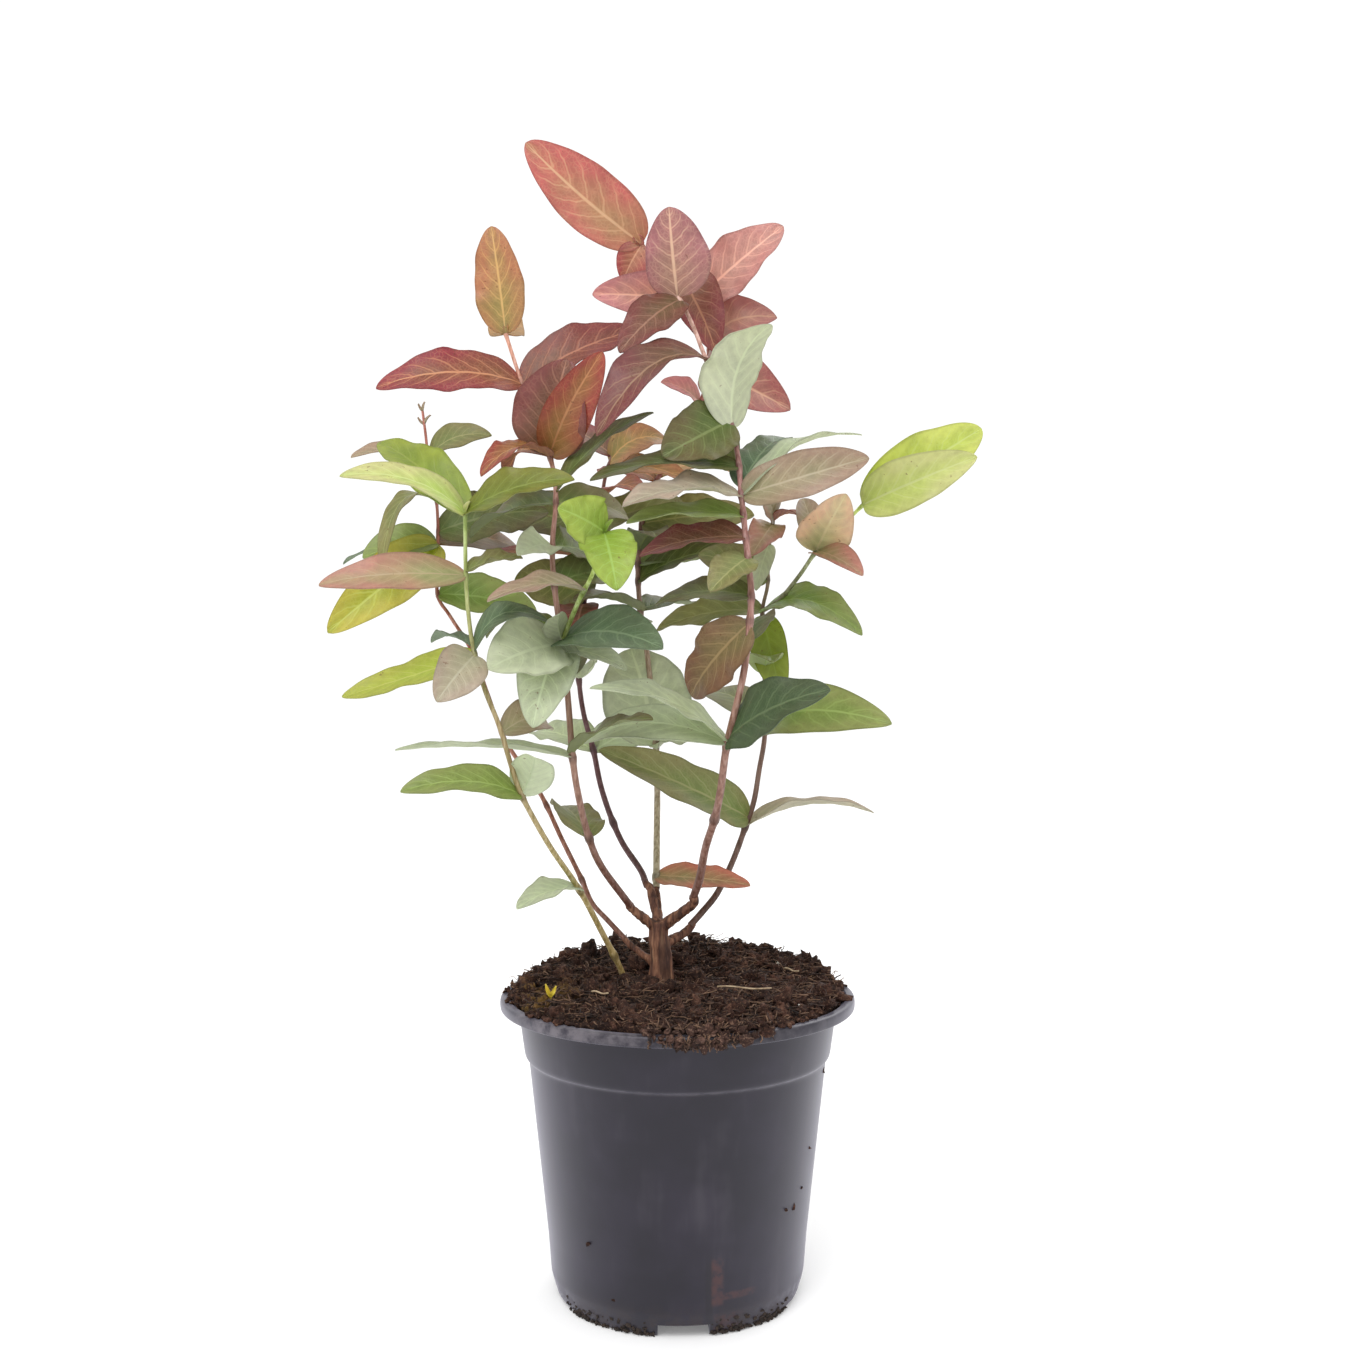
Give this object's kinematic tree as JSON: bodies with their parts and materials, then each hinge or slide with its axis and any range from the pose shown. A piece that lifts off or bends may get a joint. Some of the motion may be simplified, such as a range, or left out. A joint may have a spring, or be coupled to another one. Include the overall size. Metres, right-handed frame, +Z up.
{
  "type": "potted tutsan",
  "caption": "Young tutsan shrub with red-flushed opposite leaves on upright stems, growing in a heap of peat in a round tapered nursery pot with a rolled rim.",
  "frame": {"origin": "centre of the pot's base, on the surface it stands on", "axes": "+Z up along the pot's axis; -Y faces the viewer in the picture and +X is the viewer's right"},
  "size_m": [0.2437, 0.1817, 0.4195],
  "materials": {
    "pot_plastic": "satin charcoal polypropylene with dust and soil marks",
    "peat": "loose dark brown peat and bark fibre",
    "bark": "thin flaking brown bark",
    "foliage": "satin leaves from grey-green to lime, orange and plum, on reddish stems"
  },
  "bodies": {
    "root": {"pot": "pot_plastic", "soil": "peat", "woody_crown": "bark", "stem_gold_tip": "foliage", "stem_dark_back": "foliage", "stem_tall_back": "foliage", "stem_tall_front": "foliage", "stem_right": "foliage", "stem_left_front": "foliage", "stem_left_back": "foliage"}
  },
  "joints": []
}
